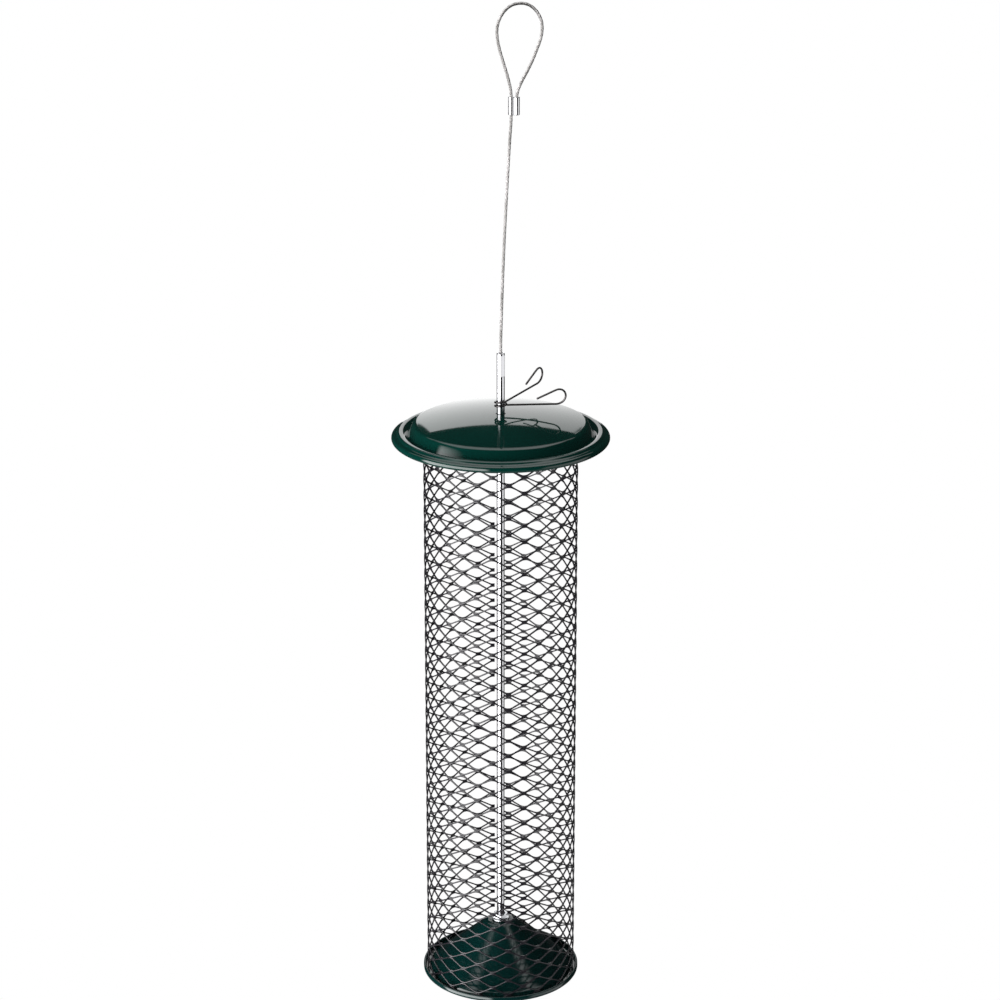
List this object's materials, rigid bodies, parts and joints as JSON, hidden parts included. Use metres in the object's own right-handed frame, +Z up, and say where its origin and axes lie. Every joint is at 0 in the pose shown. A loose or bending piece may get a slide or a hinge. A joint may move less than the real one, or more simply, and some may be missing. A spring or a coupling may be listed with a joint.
{
  "type": "hanging bird feeder",
  "caption": "Hanging mesh-tube feeder with a domed lid, coned tray, centre rod, spring clip and a wire rope loop to hang it by.",
  "frame": {"origin": "where a hook bears, inside the top of the wire rope's loop; the rod's axis is 9.05 mm towards -X of it", "axes": "+Z up along the rod and mesh tube, +X to the side that the clip's front arm points to, -Y towards a viewer in front"},
  "size_m": [0.1093, 0.1094, 0.5123],
  "materials": {
    "rope_steel": "twisted wire",
    "ferrule_steel": "bright pressed sleeve",
    "rod_steel": "bright drawn",
    "clip_steel": "dark spring wire",
    "lid_enamel": "glossy stove enamel",
    "mesh_coat": "semi-gloss coating",
    "tray_enamel": "glossy stove enamel",
    "fastener_steel": "zinc plated"
  },
  "bodies": {
    "feeder_frame": {"hanger_rope": "rope_steel", "loop_ferrule": "ferrule_steel", "center_rod": "rod_steel", "base_tray": "tray_enamel", "top_washer": "fastener_steel", "top_nut": "fastener_steel", "bottom_washer": "fastener_steel", "bottom_nut": "fastener_steel"},
    "tube": {"mesh_panel_1": "mesh_coat", "mesh_panel_2": "mesh_coat", "mesh_panel_3": "mesh_coat", "mesh_panel_4": "mesh_coat", "mesh_panel_5": "mesh_coat", "mesh_panel_6": "mesh_coat", "mesh_panel_7": "mesh_coat", "mesh_panel_8": "mesh_coat"},
    "cover": {"lid": "lid_enamel"},
    "clip": {"clip_front_arm": "clip_steel"},
    "clip_arm": {"clip_rear_arm": "clip_steel"}
  },
  "joints": [
    {"name": "tube_lift", "type": "slide", "parent": "feeder_frame", "child": "tube", "axis": [0, 0, 1], "range_m": [0, 0.008]},
    {"name": "lid_lift", "type": "slide", "parent": "tube", "child": "cover", "axis": [0, 0, 1], "range_m": [0, 0.045]},
    {"name": "clip_slide", "type": "slide", "parent": "cover", "child": "clip", "axis": [0, 0, 1], "range_m": [-0.0028, 0.017]},
    {"name": "clip_squeeze", "type": "hinge", "parent": "clip", "child": "clip_arm", "pos_m": [-0.00905, 0, -0.1973], "axis": [0, 0, -1], "range_deg": [0, 30], "stiffness_Nm_per_rad": 0.2}
  ]
}
